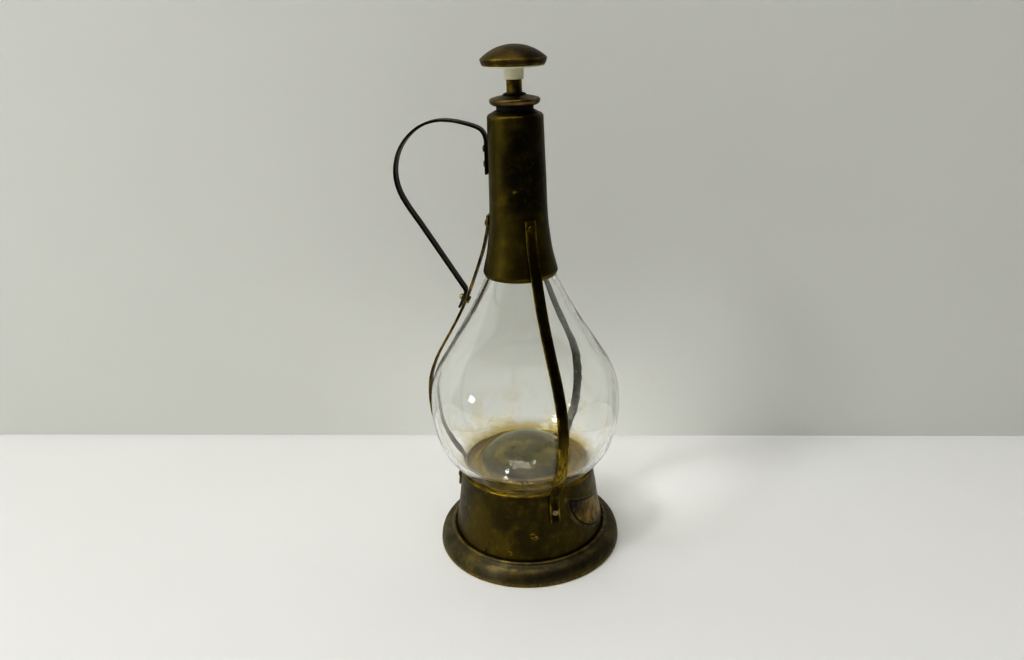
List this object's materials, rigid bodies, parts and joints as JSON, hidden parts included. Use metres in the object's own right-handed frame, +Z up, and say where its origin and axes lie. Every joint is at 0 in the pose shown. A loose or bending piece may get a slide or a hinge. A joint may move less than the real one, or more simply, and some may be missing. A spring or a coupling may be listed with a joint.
{
  "type": "lantern-style glass decanter",
  "caption": "Pear-shaped glass flask in a brass lantern-style cage with a flared base, a side handle, a lift-out knob stopper and a musical movement in the base.",
  "frame": {"origin": "centre of the ring-shaped face that the foot stands on, on the axis of the flask", "axes": "+Z up along the flask axis, -X towards the carrying handle; the three straps stand at -X and 120 degrees either side of it"},
  "size_m": [0.1281, 0.115, 0.3029],
  "materials": {
    "glass": "clear blown glass, faintly grey-green, slightly wavy",
    "aged_brass": "aged, dark olive-brown lacquered brass with rubbed golden edges",
    "dark_strip": "darkened brass strip with golden rubbed corners",
    "rivet_brass": "worn brass rivet heads",
    "dark_screw": "blackened steel",
    "foil": "tarnished printed foil, no lettering",
    "plated_steel": "nickel-plated steel, satin",
    "cast_zinc": "cast zinc, satin grey",
    "key_brass": "satin brass",
    "black_rubber": "black rubber, satin",
    "ivory_plastic": "ivory white moulded plastic"
  },
  "bodies": {
    "decanter": {"glass_flask": "glass", "neck_sleeve": "aged_brass", "base_skirt": "aged_brass", "foot_ring": "aged_brass", "handle_strap": "dark_strip", "front_strap": "dark_strip", "rear_strap": "dark_strip", "strap_top_rivets": "rivet_brass", "strap_foot_rivets": "rivet_brass", "carry_handle": "dark_strip", "handle_top_rivets": "rivet_brass", "handle_low_rivet": "rivet_brass", "flask_seat_ring": "aged_brass", "foil_label": "foil", "bottom_pan": "aged_brass", "pan_screws": "dark_screw", "movement_frame": "cast_zinc", "frame_screws": "plated_steel", "tuned_comb": "plated_steel", "comb_screws": "plated_steel", "governor_housing": "cast_zinc"},
    "stopper": {"stopper_plug": "black_rubber", "stopper_flange": "aged_brass", "stem_washer": "black_rubber", "stem_tube": "aged_brass", "stem_rod": "plated_steel", "knob_core": "ivory_plastic", "knob_cap": "aged_brass"},
    "key": {"winding_arbor": "plated_steel", "winding_key": "key_brass"},
    "drum": {"spring_drum": "key_brass"},
    "cylinder": {"pinned_cylinder": "key_brass"},
    "stop": {"stop_pin": "plated_steel"}
  },
  "joints": [
    {"name": "stopper_lift", "type": "slide", "parent": "decanter", "child": "stopper", "axis": [0, 0, 1], "range_m": [0, 0.06]},
    {"name": "key_winding", "type": "hinge", "parent": "decanter", "child": "key", "pos_m": [-0.013, 0, 0.005], "axis": [0, 0, 1], "continuous": true},
    {"name": "drum_turn", "type": "hinge", "parent": "decanter", "child": "drum", "pos_m": [-0.013, 0, 0.017], "axis": [0, 0, 1], "continuous": true},
    {"name": "cylinder_turn", "type": "hinge", "parent": "decanter", "child": "cylinder", "pos_m": [0.0136, 0, 0.02658], "axis": [1, 0, 0], "continuous": true},
    {"name": "stop_drop", "type": "slide", "parent": "decanter", "child": "stop", "axis": [0, 0, -1], "range_m": [0, 0.003], "stiffness_N_per_m": 15, "springref_m": 0.004}
  ],
  "couplings": [
    {"joint": "cylinder_turn", "follows": "drum_turn", "ratio": 3}
  ]
}
